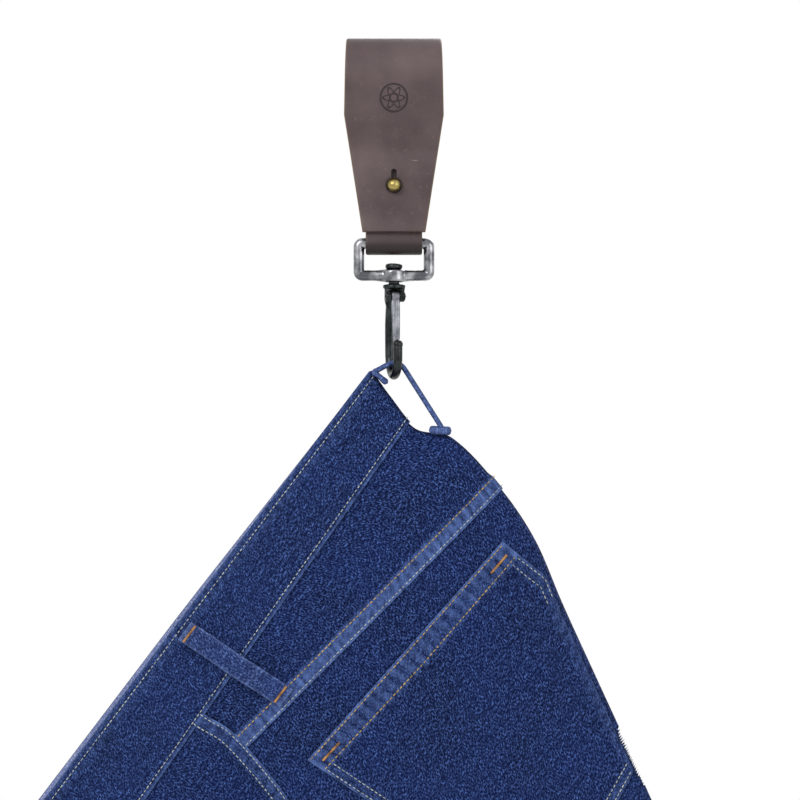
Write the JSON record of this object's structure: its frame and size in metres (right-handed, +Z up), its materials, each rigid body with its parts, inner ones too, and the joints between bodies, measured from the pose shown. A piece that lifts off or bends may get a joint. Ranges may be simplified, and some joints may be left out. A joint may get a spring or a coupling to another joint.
{
  "type": "jeans on a leather rail hook",
  "caption": "denim jeans hung by the back belt loop from a swivel snap hook, on a buckled leather loop that goes over a rail",
  "frame": {"origin": "centre of the leather loop, where the rail's axis runs", "axes": "+X along the rail, -Y towards the front with the stud and the hook's gate, +Z up"},
  "size_m": [0.4716, 0.0734, 1.26],
  "materials": {
    "leather": "oiled dark brown leather with a matt grain",
    "antique_brass": "aged brass",
    "antique_nickel": "antique nickel plate with dark edges",
    "gunmetal": "dark gunmetal plate",
    "gate_metal": "worn satin metal",
    "spring_steel": "spring wire",
    "faded_denim": "indigo denim, faded on its edges",
    "indigo_denim": "dark indigo denim twill"
  },
  "bodies": {
    "strap": {"strap_body": "leather", "stud_ball": "antique_brass", "stud_screw": "antique_brass"},
    "flap": {"strap_flap": "leather"},
    "ring": {"swivel_ring": "antique_nickel"},
    "hook": {"hook_body": "gunmetal", "swivel_pin": "gunmetal", "gate_pin": "gunmetal", "gate_spring": "spring_steel"},
    "gate": {"gate": "gate_metal"},
    "jeans": {"back_belt_loop": "faded_denim", "rear_belt_loop_left": "faded_denim", "rear_belt_loop_right": "faded_denim", "front_belt_loop_left": "faded_denim", "front_belt_loop_right": "faded_denim", "waistband_facing": "faded_denim", "hem_left": "faded_denim", "hem_right": "faded_denim", "waistband_outer": "indigo_denim", "yoke_left": "indigo_denim", "yoke_right": "indigo_denim", "back_panel_left": "indigo_denim", "back_panel_right": "indigo_denim", "front_panel_left": "indigo_denim", "front_panel_right": "indigo_denim", "back_pocket_left": "indigo_denim", "back_pocket_right": "indigo_denim", "pocket_facing_left": "indigo_denim", "pocket_facing_right": "indigo_denim", "coin_pocket": "indigo_denim", "fly_placket": "indigo_denim", "waist_button": "antique_brass", "rivets": "antique_brass"}
  },
  "joints": [
    {"name": "flap_open", "type": "hinge", "parent": "strap", "child": "flap", "pos_m": [0, -0.024, -0.0004], "axis": [-1, 0, 0], "range_deg": [0, 60]},
    {"name": "ring_swing", "type": "hinge", "parent": "strap", "child": "ring", "pos_m": [0, 0, -0.1079], "axis": [1, 0, 0], "range_deg": [-45, 45]},
    {"name": "swivel", "type": "hinge", "parent": "ring", "child": "hook", "pos_m": [0, 0, -0.129], "axis": [0, 0, 1], "continuous": true},
    {"name": "gate_open", "type": "hinge", "parent": "hook", "child": "gate", "pos_m": [0.00083, -0.00391, -0.1424], "axis": [0.9781, 0.2079, 0], "range_deg": [0, 22], "stiffness_Nm_per_rad": 0.05, "springref_deg": -17.19},
    {"name": "jeans_swing", "type": "hinge", "parent": "hook", "child": "jeans", "pos_m": [0, 0, -0.193], "axis": [0, 1, 0], "range_deg": [-20, 20]}
  ]
}
